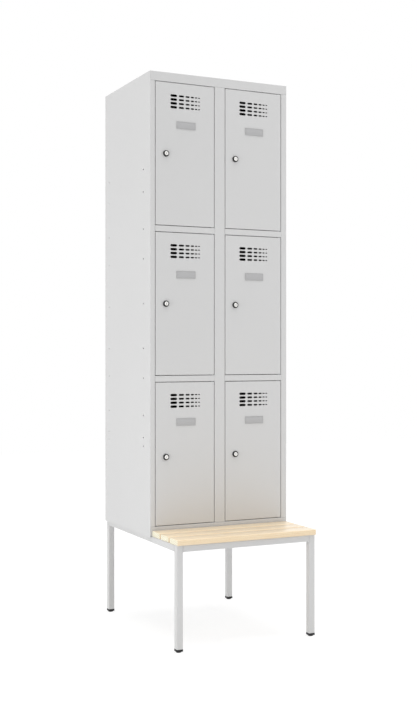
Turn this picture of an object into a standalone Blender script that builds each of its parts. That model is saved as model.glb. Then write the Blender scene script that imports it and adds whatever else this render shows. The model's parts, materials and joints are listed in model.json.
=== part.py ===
"""Steel locker with six compartments, standing on a bench underframe.

Two columns of three flush doors are closed by quarter-turn cam locks and swing on hidden
pins. The body stands on a welded square-tube underframe, and three beech slats in front
of the body make the bench.

Metres, +Z up. +X is to the right seen from the front, and the front faces -Y. The origin
is on the floor under the middle of the footprint.
"""

import math

import bmesh
import bpy
from mathutils import Vector

for old_object in list(bpy.data.objects):
    bpy.data.objects.remove(old_object, do_unlink=True)

# Sheet metal
SHEET = 0.001
BEND_RADIUS = 0.001
BEND_STEPS = 3
SEAM = 0.0003

# Body
BODY_WIDTH = 0.600
BODY_DEPTH = 0.500
BODY_HEIGHT = 1.800
REAR_FLANGE_WIDTH = 0.015

# Bolt holes, in two rows up each side, for fixing a neighbour. The sides are punched alike
# for the shelves of bodies with three, four or five tiers, and those at this body's shelves
# are covered by the shelf flanges. One more pair lies under the lowest of them.
PUNCHED_TIERS = (3, 4, 5)
FRONT_HOLE_RADIUS = 0.0034
REAR_HOLE_RADIUS = 0.0027
HOLE_SIDES = 12
HOLES_FROM_FRONT = 0.070
HOLES_FROM_BACK = 0.048
LOWEST_HOLES_DROP = 0.033

# Front frame
LOCK_STILE_WIDTH = 0.0205
HINGE_STILE_WIDTH = 0.0245
MULLION_WIDTH = 0.045
TOP_RAIL_HEIGHT = 0.0365
SHELF_RAIL_HEIGHT = 0.0235
BASE_RAIL_HEIGHT = 0.042
RETURN_DEPTH = 0.015
SHELF_FLANGE_HEIGHT = 0.020
BASE_FOOT_WIDTH = 0.020

# Doors
DOOR_GAP = 0.0023
DOOR_DEPTH = 0.018
DOOR_LIP_WIDTH = 0.012

# Hinge pins
PIN_RADIUS = 0.0020
PIN_REACH = 0.005
PIN_SHOULDER_RADIUS = 0.0032
PIN_CLEARANCE = 0.00035
PIN_SIDES = 12
SWING_CLEARANCE = 0.0004

# Ventilation slots, from a door's free edge to its hinge edge
VENT_SLOT_LENGTHS = (0.0292, 0.0230, 0.0182, 0.0146, 0.0106, 0.0086)
VENT_SLOT_HEIGHTS = (0.0098, 0.0077, 0.0068, 0.0060, 0.0049, 0.0041)
VENT_SLOT_SPACES = (0.0066, 0.0057, 0.0042, 0.0033, 0.0032)
VENT_DROP = 0.0494
VENT_ROWS = 4
VENT_ROW_PITCH = 0.0150
VENT_END_STEPS = 3

# Label holders
LABEL_WIDTH = 0.0815
LABEL_HEIGHT = 0.0292
LABEL_THICKNESS = 0.0016
LABEL_RIM = 0.0022
LABEL_RECESS = 0.0007
LABEL_OFFSET = 0.0030
LABEL_DROP = {"upper": 0.1480, "middle": 0.1480, "lower": 0.1403}

# Locks
LOCK_INSET = 0.0432
LOCK_BELOW_MIDDLE = {"upper": 0.0, "middle": 0.0, "lower": 0.012}
LOCK_SIDES = 16
LOCK_CLEARANCE = 0.0004
COLLAR_FLANGE_RADIUS = 0.0124
COLLAR_FLANGE_THICKNESS = 0.0020
COLLAR_RADIUS = 0.0114
COLLAR_LENGTH = 0.0065
BARREL_RADIUS = 0.0090
LOCK_NUT_RADIUS = 0.0130
LOCK_NUT_THICKNESS = 0.0040
PLUG_HEAD_RADIUS = 0.0076
PLUG_HEAD_LENGTH = 0.0040
PLUG_HEAD_CHAMFER = 0.0006
PLUG_PROUD = 0.0012
PLUG_SHANK_RADIUS = 0.0055
KEYWAY_WIDTH = 0.0018
KEYWAY_HEIGHT = 0.0080
KEYWAY_DEPTH = 0.0030
CAM_ENGAGEMENT = 0.0045
CAM_DOOR_SPACE = 0.0015
CAM_WIDTH = 0.016
CAM_THICKNESS = 0.002
CAM_SCREW_RADIUS = 0.0040
CAM_SCREW_LENGTH = 0.0030

# Underframe
TUBE_WIDTH = 0.025
TUBE_WALL = 0.0015
TUBE_CORNER_RADIUS = 0.0025
TUBE_CORNER_STEPS = 3
UNDERFRAME_HEIGHT = 0.393
UNDERFRAME_INSET = 0.0075
UNDERFRAME_PROJECTION = 0.2375
SIDE_PANEL_OVERLAP = 0.0065
GLIDE_HEIGHT = 0.012
GLIDE_FLANGE_THICKNESS = 0.0065
GLIDE_PLUG_HEIGHT = 0.018
GLIDE_TOP_RADIUS = 0.0115
GLIDE_SOLE_RADIUS = 0.0095

# Bench slats
SLAT_COUNT = 3
SLAT_END_INSET = 0.006
SLAT_WIDTH = 0.0735
SLAT_THICKNESS = 0.021
SLAT_SPACE = 0.010
SLAT_BODY_SPACE = 0.005
SLAT_EDGE_RADIUS = 0.0025

COLUMNS = ("left", "right")
TIERS = ("upper", "middle", "lower")

# Heights
BODY_BOTTOM = UNDERFRAME_HEIGHT - SIDE_PANEL_OVERLAP
BODY_TOP = BODY_BOTTOM + BODY_HEIGHT
FLOOR_TOP = BODY_BOTTOM + BASE_RAIL_HEIGHT
TIER_PITCH = (BODY_HEIGHT - TOP_RAIL_HEIGHT - BASE_RAIL_HEIGHT + SHELF_RAIL_HEIGHT) / len(TIERS)
OPENING_HEIGHT = TIER_PITCH - SHELF_RAIL_HEIGHT
DOOR_HEIGHT = OPENING_HEIGHT - 2 * DOOR_GAP

# Depths
SLATS_DEPTH = SLAT_COUNT * SLAT_WIDTH + (SLAT_COUNT - 1) * SLAT_SPACE
BENCH_REACH = max(UNDERFRAME_PROJECTION, SLAT_BODY_SPACE + SLATS_DEPTH)
FRONT = (BENCH_REACH - BODY_DEPTH) / 2
BACK = FRONT + BODY_DEPTH
BACK_PANEL_REAR = BACK - SHEET - SEAM
BACK_PANEL_FRONT = BACK_PANEL_REAR - SHEET
BEHIND_RETURNS = FRONT + RETURN_DEPTH + SEAM
BARREL_LENGTH = DOOR_DEPTH + CAM_DOOR_SPACE - SEAM
HINGE_FACE_INSET = SHEET + BEND_RADIUS + SEAM + PIN_SHOULDER_RADIUS
HINGE_Y = FRONT + HINGE_FACE_INSET

# Widths
SIDE = BODY_WIDTH / 2
STILES_WIDTH = LOCK_STILE_WIDTH + MULLION_WIDTH + HINGE_STILE_WIDTH
OPENING_WIDTH = (BODY_WIDTH - STILES_WIDTH) / len(COLUMNS)
DOOR_WIDTH = OPENING_WIDTH - 2 * DOOR_GAP
MULLION_LEFT = -SIDE + LOCK_STILE_WIDTH + OPENING_WIDTH
PARTITION_X = MULLION_LEFT + MULLION_WIDTH / 2
CAM_REACH = LOCK_INSET + DOOR_GAP + CAM_ENGAGEMENT - CAM_WIDTH / 2

# Distance from a door's hinge edge to its axis, at which the front corner swings clear
SWING_SLACK = DOOR_GAP - SWING_CLEARANCE
HINGE_EDGE_INSET = (HINGE_FACE_INSET**2 - SWING_SLACK**2) / (2 * SWING_SLACK)


def opening_left(column):
    """X of the left edge of a column's door openings."""
    pitch = OPENING_WIDTH + MULLION_WIDTH
    return -SIDE + LOCK_STILE_WIDTH + COLUMNS.index(column) * pitch


def opening_top(tier):
    """Z of the top edge of a tier's door openings."""
    return BODY_TOP - TOP_RAIL_HEIGHT - TIERS.index(tier) * TIER_PITCH


def hinge_x(column):
    """X of the axis on which a column's doors turn, near their right edge."""
    return opening_left(column) + DOOR_GAP + DOOR_WIDTH - HINGE_EDGE_INSET


def material(name, colour, roughness, metallic):
    """A plain Principled material."""
    made = bpy.data.materials.new(name)
    made.use_nodes = True
    shader = made.node_tree.nodes["Principled BSDF"]
    shader.inputs["Base Color"].default_value = (*colour, 1.0)
    shader.inputs["Roughness"].default_value = roughness
    shader.inputs["Metallic"].default_value = metallic
    return made


LIGHT_GREY_PAINT = ((0.66, 0.66, 0.65), 0.45, 0.0)
BEECH = ((0.86, 0.70, 0.48), 0.45, 0.0)
BLACK_PLASTIC = ((0.02, 0.02, 0.02), 0.40, 0.0)
NICKEL = ((0.80, 0.80, 0.79), 0.20, 1.0)
GREY_PLASTIC = ((0.46, 0.46, 0.46), 0.40, 0.0)
ZINC_STEEL = ((0.62, 0.63, 0.64), 0.35, 1.0)


def loft(bm, loops, ring=False):
    """Skins a row of loops with equal counts. Its ends are capped, or meet in a ring."""
    rows = [[bm.verts.new(point) for point in loop] for loop in loops]
    pairs = list(zip(rows, rows[1:]))
    if ring:
        pairs.append((rows[-1], rows[0]))
    else:
        bm.faces.new(reversed(rows[0]))
        bm.faces.new(rows[-1])
    for near, far in pairs:
        for i in range(len(near)):
            j = (i + 1) % len(near)
            bm.faces.new((near[i], near[j], far[j], far[i]))


def in_plane(outline, axis, level):
    """Points of a flat outline, placed at a level along X, Y or Z."""
    if axis == "X":
        return [Vector((level, a, b)) for a, b in outline]
    if axis == "Y":
        return [Vector((a, level, b)) for a, b in outline]
    return [Vector((a, b, level)) for a, b in outline]


def prism(bm, outline, axis, start, end):
    """A solid bar with a flat outline as its section."""
    loft(bm, [in_plane(outline, axis, start), in_plane(outline, axis, end)])


def rectangle(low, high):
    """Outline of a rectangle between two corners."""
    return [low, (high[0], low[1]), high, (low[0], high[1])]


def box(bm, low, high):
    """A box between two corners."""
    prism(bm, rectangle(low[:2], high[:2]), "Z", low[2], high[2])


def rounded_square(width, radius, steps, centre=(0.0, 0.0), height=None):
    """Outline of a rectangle with round corners, square if no height is given."""
    height = width if height is None else height
    points = []
    for corner in range(4):
        start = math.pi / 2 * corner
        middle = start + math.pi / 4
        across = math.copysign(width / 2 - radius, math.cos(middle))
        along = math.copysign(height / 2 - radius, math.sin(middle))
        for step in range(steps + 1):
            angle = start + math.pi / 2 * step / steps
            x = centre[0] + across + radius * math.cos(angle)
            y = centre[1] + along + radius * math.sin(angle)
            points.append((x, y))
    return points


def circle(radius, sides, centre=(0.0, 0.0)):
    """Outline of a round section."""
    turns = [2 * math.pi * (side + 0.5) / sides for side in range(sides)]
    return [(centre[0] + radius * math.cos(t), centre[1] + radius * math.sin(t)) for t in turns]


def slot_outline(left, middle, length, height):
    """Outline of a slot with half-round ends, from its left end and its middle height."""
    radius = height / 2
    points = []
    for end_x, start in ((left + length - radius, -math.pi / 2), (left + radius, math.pi / 2)):
        for step in range(VENT_END_STEPS + 1):
            angle = start + math.pi * step / VENT_END_STEPS
            points.append((end_x + radius * math.cos(angle), middle + radius * math.sin(angle)))
    return points


def lathe(bm, profile, sides, ring=False):
    """A turned shape about the Y axis, from a profile of (radius, y) points."""
    loft(bm, [in_plane(circle(radius, sides), "Y", y) for radius, y in profile], ring)


def folded_sheet(path):
    """Outline of a sheet folded at right angles, from the line through its middle."""
    corners = [Vector(point) for point in path]
    radius = BEND_RADIUS + SHEET / 2
    line = []

    def add(point, normal):
        line.append((point, normal))

    def left_of(direction):
        return Vector((-direction.y, direction.x))

    add(corners[0], left_of((corners[1] - corners[0]).normalized()))
    for before, corner, after in zip(corners, corners[1:], corners[2:]):
        inward = (before - corner).normalized()
        onward = (after - corner).normalized()
        centre = corner + (inward + onward) * radius
        side = 1 if left_of(-inward).dot(onward) < 0 else -1
        for step in range(BEND_STEPS + 1):
            angle = math.pi / 2 * step / BEND_STEPS
            out = -onward * math.cos(angle) - inward * math.sin(angle)
            add(centre + out * radius, out * side)
    add(corners[-1], left_of((corners[-1] - corners[-2]).normalized()))
    one_face = [point + normal * SHEET / 2 for point, normal in line]
    other_face = [point - normal * SHEET / 2 for point, normal in reversed(line)]
    return [tuple(point) for point in one_face + other_face]


def finish(name, bm, finish_values, origin=(0.0, 0.0, 0.0), smooth_angle=None):
    """Turns a bmesh into a named object with its own material, its origin moved to a point."""
    bmesh.ops.recalc_face_normals(bm, faces=bm.faces)
    bmesh.ops.translate(bm, verts=bm.verts, vec=-Vector(origin))
    mesh = bpy.data.meshes.new(name)
    bm.to_mesh(mesh)
    bm.free()
    if smooth_angle is not None:
        mesh.shade_smooth()
        mesh.set_sharp_from_angle(angle=math.radians(smooth_angle))
    made = bpy.data.objects.new(name, mesh)
    made.location = origin
    mesh.materials.append(material(name, *finish_values))
    bpy.context.scene.collection.objects.link(made)
    return made


def boolean(target, bm, operation):
    """Cuts a bmesh away from an object or joins it on, and keeps it as a hidden guide."""
    bmesh.ops.recalc_face_normals(bm, faces=bm.faces)
    name = f"{operation.lower()}_{len(target.modifiers)}_{target.name}"
    mesh = bpy.data.meshes.new(name)
    bm.to_mesh(mesh)
    bm.free()
    guide = bpy.data.objects.new(name, mesh)
    guide.hide_render = True
    guide.display_type = "WIRE"
    bpy.context.scene.collection.objects.link(guide)
    step = target.modifiers.new(name, "BOOLEAN")
    step.operation = operation
    step.solver = "EXACT"
    step.object = guide


# The shelf, rail and base holes in which the hinge pins sit
PIN_HOLE_RADIUS = PIN_RADIUS + PIN_CLEARANCE


def pin_hole(bm, column, low, high):
    """A round cutter on a column's hinge axis."""
    outline = circle(PIN_HOLE_RADIUS, PIN_SIDES, (hinge_x(column), HINGE_Y))
    prism(bm, outline, "Z", low, high)


def hole_heights():
    """Z of the holes in the sides, at the middle of the shelf flanges for each tier count."""
    heights = []
    for tiers in PUNCHED_TIERS:
        pitch = TIER_PITCH * len(TIERS) / tiers
        for number in range(1, tiers):
            heights.append(FLOOR_TOP + number * pitch - SHELF_FLANGE_HEIGHT / 2)
    return [min(heights) - LOWEST_HOLES_DROP, *heights]


def side_holes(bm, start, end):
    """Round cutters through a side, one in the front row and one in the rear at each height."""
    rows = (
        (FRONT + HOLES_FROM_FRONT, FRONT_HOLE_RADIUS),
        (BACK - HOLES_FROM_BACK, REAR_HOLE_RADIUS),
    )
    for height in hole_heights():
        for y, radius in rows:
            prism(bm, circle(radius, HOLE_SIDES, (y, height)), "X", start, end)


def side_panel(column):
    """One side: skin with bolt holes, rear flange, front stile and the return behind it."""
    hand = -1 if column == "left" else 1
    stile_width = LOCK_STILE_WIDTH if column == "left" else HINGE_STILE_WIDTH
    skin = hand * (SIDE - SHEET / 2)
    stile_edge = hand * (SIDE - stile_width + SHEET / 2)
    path = [
        (hand * (SIDE - REAR_FLANGE_WIDTH), BACK - SHEET / 2),
        (skin, BACK - SHEET / 2),
        (skin, FRONT + SHEET / 2),
        (stile_edge, FRONT + SHEET / 2),
        (stile_edge, FRONT + RETURN_DEPTH),
    ]
    bm = bmesh.new()
    prism(bm, folded_sheet(path), "Z", BODY_BOTTOM, BODY_TOP)
    panel = finish(f"side_panel_{column}", bm, LIGHT_GREY_PAINT)

    inner_face = hand * (SIDE - SHEET)
    past_stile = hand * (SIDE - 2 * max(stile_width, REAR_FLANGE_WIDTH))
    left, right = sorted((inner_face, past_stile))
    beyond = SHEET
    cuts = bmesh.new()
    box(
        cuts,
        (left, FRONT - beyond, BODY_TOP - TOP_RAIL_HEIGHT - SEAM),
        (right, BEHIND_RETURNS, BODY_TOP + beyond),
    )
    box(
        cuts,
        (left, FRONT - beyond, BODY_BOTTOM - beyond),
        (right, BEHIND_RETURNS, FLOOR_TOP + SEAM),
    )
    box(
        cuts,
        (left, BACK_PANEL_FRONT, BODY_BOTTOM - beyond),
        (right, BACK + beyond, UNDERFRAME_HEIGHT + SEAM),
    )
    box(
        cuts,
        (left, BACK_PANEL_FRONT, BODY_TOP - SHEET - SEAM),
        (right, BACK + beyond, BODY_TOP + beyond),
    )
    start, end = sorted((inner_face - hand * beyond, inner_face + hand * (SHEET + beyond)))
    side_holes(cuts, start, end)
    boolean(panel, cuts, "DIFFERENCE")


def top_panel():
    """The roof sheet with the top rail folded down and back in front."""
    middle = BODY_TOP - SHEET / 2
    rail_bottom = BODY_TOP - TOP_RAIL_HEIGHT + SHEET / 2
    path = [
        (BACK, middle),
        (FRONT + SHEET / 2, middle),
        (FRONT + SHEET / 2, rail_bottom),
        (FRONT + RETURN_DEPTH, rail_bottom),
    ]
    reach = SIDE - SHEET - SEAM
    bm = bmesh.new()
    prism(bm, folded_sheet(path), "X", -reach, reach)
    panel = finish("top_panel", bm, LIGHT_GREY_PAINT)
    holes = bmesh.new()
    for column in COLUMNS:
        pin_hole(holes, column, rail_bottom - SHEET, rail_bottom + SHEET)
    boolean(panel, holes, "DIFFERENCE")


def base_panel():
    """The floor of the lowest compartments, with a front rail and feet on the side rails."""
    underside = UNDERFRAME_HEIGHT + SEAM
    floor = FLOOR_TOP - SHEET / 2
    rear = BACK_PANEL_FRONT - SEAM
    reach = SIDE - SHEET - SEAM
    bm = bmesh.new()
    path = [(rear, floor), (FRONT + SHEET / 2, floor), (FRONT + SHEET / 2, underside)]
    prism(bm, folded_sheet(path), "X", -reach, reach)
    panel = finish("base_panel", bm, LIGHT_GREY_PAINT)
    feet = bmesh.new()
    for hand in (-1, 1):
        wall = hand * (reach - SHEET / 2)
        toe = hand * (reach - BASE_FOOT_WIDTH)
        path = [(wall, floor), (wall, underside + SHEET / 2), (toe, underside + SHEET / 2)]
        prism(feet, folded_sheet(path), "Y", FRONT + 2 * SHEET, rear)
    boolean(panel, feet, "UNION")
    holes = bmesh.new()
    for column in COLUMNS:
        pin_hole(holes, column, floor - SHEET, floor + SHEET)
    boolean(panel, holes, "DIFFERENCE")


def back_panel():
    """The flat rear sheet, held behind the flanges of the side panels."""
    reach = SIDE - SHEET - BEND_RADIUS
    bm = bmesh.new()
    box(
        bm,
        (-reach, BACK_PANEL_FRONT, UNDERFRAME_HEIGHT + SEAM),
        (reach, BACK_PANEL_REAR, BODY_TOP - SHEET - SEAM),
    )
    finish("back_panel", bm, LIGHT_GREY_PAINT)


def centre_partition():
    """The mullion between the columns with its two returns, and the wall behind it."""
    left = MULLION_LEFT + SHEET / 2
    right = MULLION_LEFT + MULLION_WIDTH - SHEET / 2
    path = [
        (left, FRONT + RETURN_DEPTH),
        (left, FRONT + SHEET / 2),
        (right, FRONT + SHEET / 2),
        (right, FRONT + RETURN_DEPTH),
    ]
    low = FLOOR_TOP + SEAM
    high = BODY_TOP - TOP_RAIL_HEIGHT - SEAM
    bm = bmesh.new()
    prism(bm, folded_sheet(path), "Z", low, high)
    partition = finish("centre_partition", bm, LIGHT_GREY_PAINT)
    wall_top = BODY_TOP - SHEET - SEAM
    wall_back = BACK_PANEL_FRONT - SEAM
    wall_outline = [
        (FRONT + SHEET / 2, low),
        (wall_back, low),
        (wall_back, wall_top),
        (BEHIND_RETURNS, wall_top),
        (BEHIND_RETURNS, high),
        (FRONT + SHEET / 2, high),
    ]
    wall = bmesh.new()
    prism(wall, wall_outline, "X", PARTITION_X - SHEET / 2, PARTITION_X + SHEET / 2)
    boolean(partition, wall, "UNION")


def shelf(column, tier):
    """The shelf under a tier, with its front rail and its flanges at the sides and rear."""
    rail_top = opening_top(tier) - OPENING_HEIGHT
    top = rail_top - SHEET / 2
    rail_bottom = rail_top - SHELF_RAIL_HEIGHT + SHEET / 2
    flange_bottom = rail_top - SHELF_FLANGE_HEIGHT
    rear = BACK_PANEL_FRONT - SEAM - SHEET / 2
    if column == "left":
        low_x = -SIDE + SHEET + SEAM
        high_x = PARTITION_X - SHEET / 2 - SEAM
    else:
        low_x = PARTITION_X + SHEET / 2 + SEAM
        high_x = SIDE - SHEET - SEAM
    path = [
        (rear, flange_bottom),
        (rear, top),
        (FRONT + SHEET / 2, top),
        (FRONT + SHEET / 2, rail_bottom),
        (FRONT + RETURN_DEPTH, rail_bottom),
    ]
    bm = bmesh.new()
    prism(bm, folded_sheet(path), "X", low_x, high_x)
    made = finish(f"shelf_{tier}_{column}", bm, LIGHT_GREY_PAINT)

    rail_left = opening_left(column) + SEAM
    rail_right = opening_left(column) + OPENING_WIDTH - SEAM
    beyond = SHEET
    cuts = bmesh.new()
    for outer, inner in ((low_x - beyond, rail_left), (rail_right, high_x + beyond)):
        box(
            cuts,
            (outer, FRONT - beyond, rail_top - SHELF_RAIL_HEIGHT - beyond),
            (inner, BEHIND_RETURNS, rail_top + beyond),
        )
    boolean(made, cuts, "DIFFERENCE")

    holes = bmesh.new()
    pin_hole(holes, column, rail_bottom - SHEET, top + SHEET)
    boolean(made, holes, "DIFFERENCE")

    flanges = bmesh.new()
    for start in (low_x, high_x - SHEET):
        box(
            flanges,
            (start, BEHIND_RETURNS + SHEET, flange_bottom),
            (start + SHEET, rear + SHEET / 2, top),
        )
    boolean(made, flanges, "UNION")


def hinge_pin(name, column, low, high, shoulder):
    """A turned pin on a column's hinge axis, with a shoulder between two heights."""
    shoulder_low, shoulder_high = shoulder
    profile = [
        (PIN_RADIUS, low),
        (PIN_RADIUS, shoulder_low),
        (PIN_SHOULDER_RADIUS, shoulder_low),
        (PIN_SHOULDER_RADIUS, shoulder_high),
        (PIN_RADIUS, shoulder_high),
        (PIN_RADIUS, high),
    ]
    centre = (hinge_x(column), HINGE_Y)
    bm = bmesh.new()
    loft(bm, [in_plane(circle(radius, PIN_SIDES, centre), "Z", z) for radius, z in profile])
    finish(f"hinge_pin_{name}_{column}", bm, ZINC_STEEL, (*centre, low), smooth_angle=40)


def hinge_pins(column):
    """The four pins of a column. A pin in a rail serves the door above and the one below."""
    into_door = DOOR_GAP + SHEET + PIN_REACH
    top_rail_bottom = BODY_TOP - TOP_RAIL_HEIGHT
    above_return = top_rail_bottom + SHEET + SEAM
    shoulder_height = DOOR_GAP - 2 * SEAM
    hinge_pin(
        "top",
        column,
        top_rail_bottom - into_door,
        above_return + shoulder_height + PIN_REACH,
        (above_return, above_return + shoulder_height),
    )
    for tier in TIERS[:-1]:
        rail_top = opening_top(tier) - OPENING_HEIGHT
        hinge_pin(
            f"below_{tier}",
            column,
            rail_top - SHELF_RAIL_HEIGHT - into_door,
            rail_top + into_door,
            (rail_top + SEAM, rail_top + SEAM + shoulder_height),
        )
    hinge_pin(
        "bottom",
        column,
        FLOOR_TOP - SHEET - PIN_REACH,
        FLOOR_TOP + into_door,
        (FLOOR_TOP + SEAM, FLOOR_TOP + SEAM + shoulder_height),
    )


def door(column, tier):
    """A door pan of folded sheet with ventilation slots, a lock hole and two pin holes."""
    left = opening_left(column) + DOOR_GAP
    top = opening_top(tier) - DOOR_GAP
    bottom = top - DOOR_HEIGHT
    flat_start = BEND_RADIUS + 2 * SHEET
    section = folded_sheet(
        [
            (flat_start, SHEET / 2),
            (SHEET / 2, SHEET / 2),
            (SHEET / 2, DOOR_DEPTH - SHEET / 2),
            (DOOR_LIP_WIDTH, DOOR_DEPTH - SHEET / 2),
        ]
    )
    bm = bmesh.new()
    loops = []
    for inset, depth in section:
        outline = rectangle(
            (left + inset, bottom + inset), (left + DOOR_WIDTH - inset, top - inset)
        )
        loops.append(in_plane(outline, "Y", FRONT + depth))
    loft(bm, loops)
    made = finish(f"door_{tier}_{column}", bm, LIGHT_GREY_PAINT, (hinge_x(column), HINGE_Y, bottom))

    cuts = bmesh.new()
    through = (FRONT - SHEET, FRONT + 2 * SHEET)
    vents_width = sum(VENT_SLOT_LENGTHS) + sum(VENT_SLOT_SPACES)
    for row in range(VENT_ROWS):
        middle = top - VENT_DROP - row * VENT_ROW_PITCH
        slot_left = left + (DOOR_WIDTH - vents_width) / 2
        spaces = (*VENT_SLOT_SPACES, 0.0)
        for length, height, space in zip(VENT_SLOT_LENGTHS, VENT_SLOT_HEIGHTS, spaces):
            prism(cuts, slot_outline(slot_left, middle, length, height), "Y", *through)
            slot_left += length + space
    lock_centre = (left + LOCK_INSET, lock_height(tier))
    prism(cuts, circle(BARREL_RADIUS + SEAM, LOCK_SIDES, lock_centre), "Y", *through)
    pin_hole(cuts, column, top - 2 * SHEET, top + SHEET)
    pin_hole(cuts, column, bottom - SHEET, bottom + 2 * SHEET)
    boolean(made, cuts, "DIFFERENCE")


def lock_height(tier):
    """Z of a lock's axis."""
    return opening_top(tier) - OPENING_HEIGHT / 2 - LOCK_BELOW_MIDDLE[tier]


def lock_housing(column, tier):
    """The black collar in front of a door, its barrel through the door and its nut."""
    bore = PLUG_SHANK_RADIUS + LOCK_CLEARANCE
    recess = PLUG_HEAD_RADIUS + LOCK_CLEARANCE
    recess_floor = PLUG_HEAD_LENGTH - PLUG_PROUD - COLLAR_LENGTH + SEAM
    flange_rear = -SEAM
    flange_front = flange_rear - COLLAR_FLANGE_THICKNESS
    nut_front = SHEET + SEAM
    nut_rear = nut_front + LOCK_NUT_THICKNESS
    profile = [
        (bore, BARREL_LENGTH),
        (bore, recess_floor),
        (recess, recess_floor),
        (recess, -COLLAR_LENGTH),
        (COLLAR_RADIUS, -COLLAR_LENGTH),
        (COLLAR_RADIUS, flange_front),
        (COLLAR_FLANGE_RADIUS, flange_front),
        (COLLAR_FLANGE_RADIUS, flange_rear),
        (BARREL_RADIUS, flange_rear),
        (BARREL_RADIUS, BARREL_LENGTH),
    ]
    bm = bmesh.new()
    lathe(bm, profile, LOCK_SIDES, ring=True)
    centre = (opening_left(column) + DOOR_GAP + LOCK_INSET, FRONT, lock_height(tier))
    bmesh.ops.translate(bm, verts=bm.verts, vec=centre)
    housing = finish(f"lock_housing_{tier}_{column}", bm, BLACK_PLASTIC, centre, smooth_angle=40)

    nut = bmesh.new()
    hexagon = circle(LOCK_NUT_RADIUS, 6)
    opening = circle((bore + BARREL_RADIUS) / 2, 6)
    loops = []
    for outline, y in ((hexagon, nut_front), (hexagon, nut_rear), (opening, nut_rear), (opening, nut_front)):
        loops.append(in_plane(outline, "Y", y))
    loft(nut, loops, ring=True)
    bmesh.ops.translate(nut, verts=nut.verts, vec=centre)
    boolean(housing, nut, "UNION")


def lock_plug(column, tier):
    """The turning part of a lock: bright head with a keyway, shank, cam and its screw."""
    front = -COLLAR_LENGTH - PLUG_PROUD
    head_rear = front + PLUG_HEAD_LENGTH
    cam_front = BARREL_LENGTH + SEAM
    cam_rear = cam_front + CAM_THICKNESS
    screw_rear = cam_rear + CAM_SCREW_LENGTH
    profile = [
        (PLUG_HEAD_RADIUS - PLUG_HEAD_CHAMFER, front),
        (PLUG_HEAD_RADIUS, front + PLUG_HEAD_CHAMFER),
        (PLUG_HEAD_RADIUS, head_rear),
        (PLUG_SHANK_RADIUS, head_rear),
        (PLUG_SHANK_RADIUS, cam_rear),
        (CAM_SCREW_RADIUS, cam_rear),
        (CAM_SCREW_RADIUS, screw_rear),
    ]
    centre = (opening_left(column) + DOOR_GAP + LOCK_INSET, FRONT, lock_height(tier))
    bm = bmesh.new()
    lathe(bm, profile, LOCK_SIDES)
    bmesh.ops.translate(bm, verts=bm.verts, vec=centre)
    plug = finish(f"lock_plug_{tier}_{column}", bm, NICKEL, centre, smooth_angle=40)

    cam = bmesh.new()
    middle = (0.0, -CAM_REACH / 2)
    outline = rounded_square(
        CAM_WIDTH, CAM_WIDTH / 4, BEND_STEPS, middle, CAM_REACH + CAM_WIDTH
    )
    prism(cam, outline, "Y", cam_front, cam_rear)
    bmesh.ops.translate(cam, verts=cam.verts, vec=centre)
    boolean(plug, cam, "UNION")

    keyway = bmesh.new()
    half_width, half_height = KEYWAY_WIDTH / 2, KEYWAY_HEIGHT / 2
    box(
        keyway,
        (-half_width, front - SHEET, -half_height),
        (half_width, front + KEYWAY_DEPTH, half_height),
    )
    bmesh.ops.translate(keyway, verts=keyway.verts, vec=centre)
    boolean(plug, keyway, "DIFFERENCE")


def label_holder(column, tier):
    """A plain plate with a shallow rim on the face of a door."""
    left = opening_left(column) + (OPENING_WIDTH - LABEL_WIDTH) / 2 + LABEL_OFFSET
    top = opening_top(tier) - DOOR_GAP - LABEL_DROP[tier]
    rear = FRONT - SEAM
    front = rear - LABEL_THICKNESS
    bm = bmesh.new()
    loops = []
    for inset, y in ((0.0, rear), (0.0, front), (LABEL_RIM, front), (LABEL_RIM, front + LABEL_RECESS)):
        outline = rectangle(
            (left + inset, top - LABEL_HEIGHT + inset), (left + LABEL_WIDTH - inset, top - inset)
        )
        loops.append(in_plane(outline, "Y", y))
    loft(bm, loops)
    finish(f"label_holder_{tier}_{column}", bm, GREY_PLASTIC)


# Middle lines of the underframe tubes
LEG_X = SIDE - UNDERFRAME_INSET - TUBE_WIDTH / 2
FRONT_LEG_Y = FRONT - UNDERFRAME_PROJECTION + TUBE_WIDTH / 2
REAR_LEG_Y = BACK - TUBE_WIDTH / 2
RAIL_Z = UNDERFRAME_HEIGHT - TUBE_WIDTH / 2


def tube(name, axis, centre, start, end):
    """A square tube, open at both ends, along X, Y or Z."""
    outer = rounded_square(TUBE_WIDTH, TUBE_CORNER_RADIUS, TUBE_CORNER_STEPS, centre)
    inner_radius = max(TUBE_CORNER_RADIUS - TUBE_WALL, TUBE_WALL / 4)
    inner = rounded_square(TUBE_WIDTH - 2 * TUBE_WALL, inner_radius, TUBE_CORNER_STEPS, centre)
    bm = bmesh.new()
    loops = []
    for outline, level in ((outer, start), (outer, end), (inner, end), (inner, start)):
        loops.append(in_plane(outline, axis, level))
    loft(bm, loops, ring=True)
    finish(name, bm, LIGHT_GREY_PAINT)


def underframe():
    """Four legs to the full height, with two side rails, a front rail and a rear rail."""
    half_joint = TUBE_WIDTH / 2 + SEAM
    for column, x in (("left", -LEG_X), ("right", LEG_X)):
        for place, y in (("front", FRONT_LEG_Y), ("rear", REAR_LEG_Y)):
            tube(f"leg_{place}_{column}", "Z", (x, y), GLIDE_HEIGHT + SEAM, UNDERFRAME_HEIGHT)
        rail_start = FRONT_LEG_Y + half_joint
        tube(f"side_rail_{column}", "Y", (x, RAIL_Z), rail_start, REAR_LEG_Y - half_joint)
    for place, y in (("front", FRONT_LEG_Y), ("rear", REAR_LEG_Y)):
        tube(f"{place}_rail", "X", (y, RAIL_Z), -LEG_X + half_joint, LEG_X - half_joint)


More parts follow.
